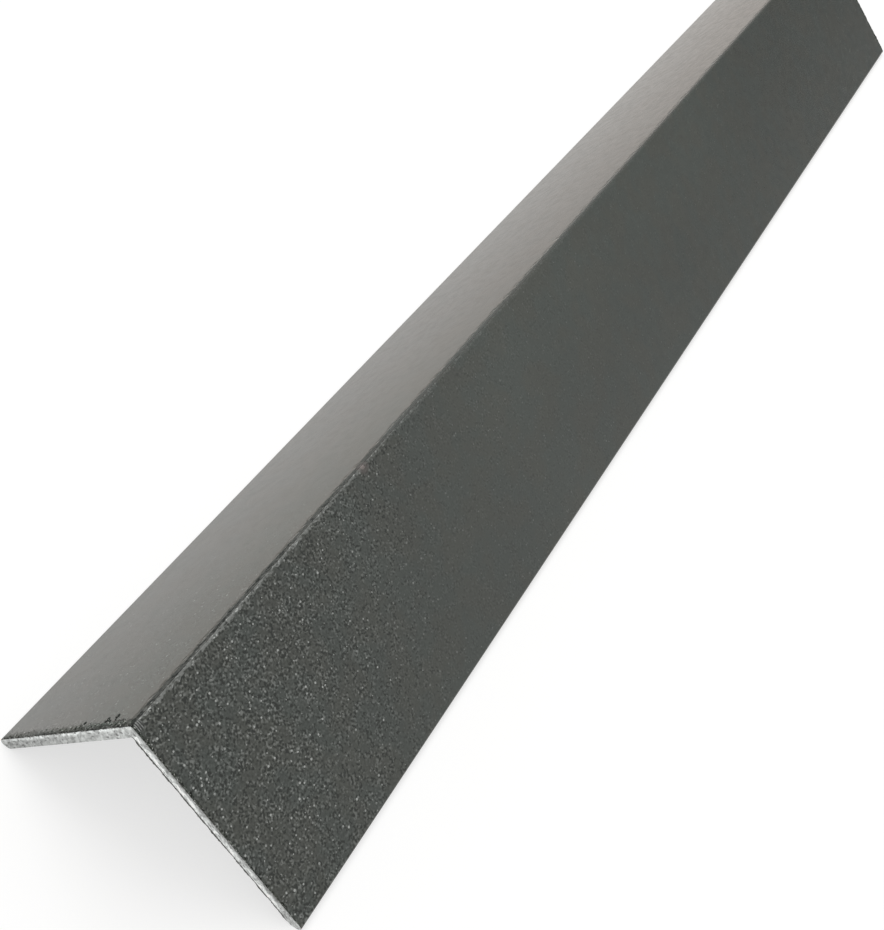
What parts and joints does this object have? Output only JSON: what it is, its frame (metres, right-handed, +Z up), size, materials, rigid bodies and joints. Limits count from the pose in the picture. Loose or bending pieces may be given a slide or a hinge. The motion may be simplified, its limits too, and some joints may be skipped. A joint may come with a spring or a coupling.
{
  "type": "equal-leg metal angle section",
  "caption": "Straight equal-leg metal angle with a dark fleck coating and sawn bright ends, for framing, edging and brackets.",
  "frame": {"origin": "on the floor under the heel, halfway along the piece: the centre of the bottom of its box, as it stands heel up on its two toes", "axes": "+Y along the piece, +Z up through the heel, +X across, so the section is its own mirror image in the YZ plane"},
  "size_m": [0.0842, 0.5, 0.0433],
  "materials": {
    "coated_metal": "satin"
  },
  "bodies": {
    "root": {"angle_section": "coated_metal"}
  },
  "joints": []
}
